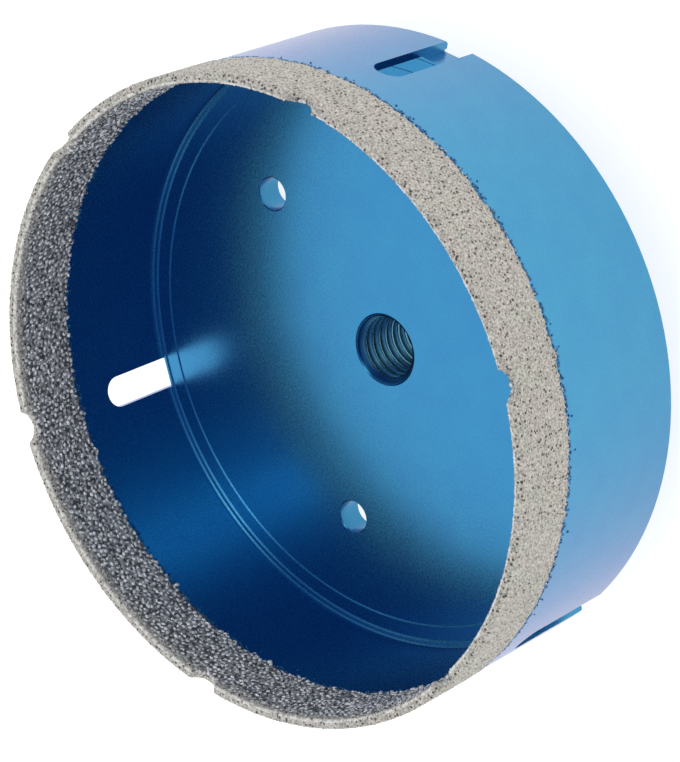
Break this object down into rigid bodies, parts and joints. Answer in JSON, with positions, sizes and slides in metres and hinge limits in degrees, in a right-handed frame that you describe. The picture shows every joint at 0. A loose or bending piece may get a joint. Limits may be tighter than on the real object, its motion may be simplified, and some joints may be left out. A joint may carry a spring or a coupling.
{
  "type": "diamond core bit",
  "caption": "Cup-shaped core bit for an angle grinder: a threaded hub in a flat back plate, a slotted tubular wall and a diamond coated, notched rim that cuts round holes in tile and stone.",
  "frame": {"origin": "centre of the hub's flat end face, on the spindle axis", "axes": "+Z along the spindle axis towards the diamond rim, +X through one wall slot; the part stands on its hub with the mouth up"},
  "size_m": [0.125, 0.125, 0.06],
  "materials": {
    "blue_coat": "satin metallic blue lacquer on steel",
    "diamond_grit": "rough brazed diamond grit, pale beige-grey with dark pores"
  },
  "bodies": {
    "root": {"barrel": "blue_coat", "hub_plate": "blue_coat", "diamond_rim": "diamond_grit"}
  },
  "joints": []
}
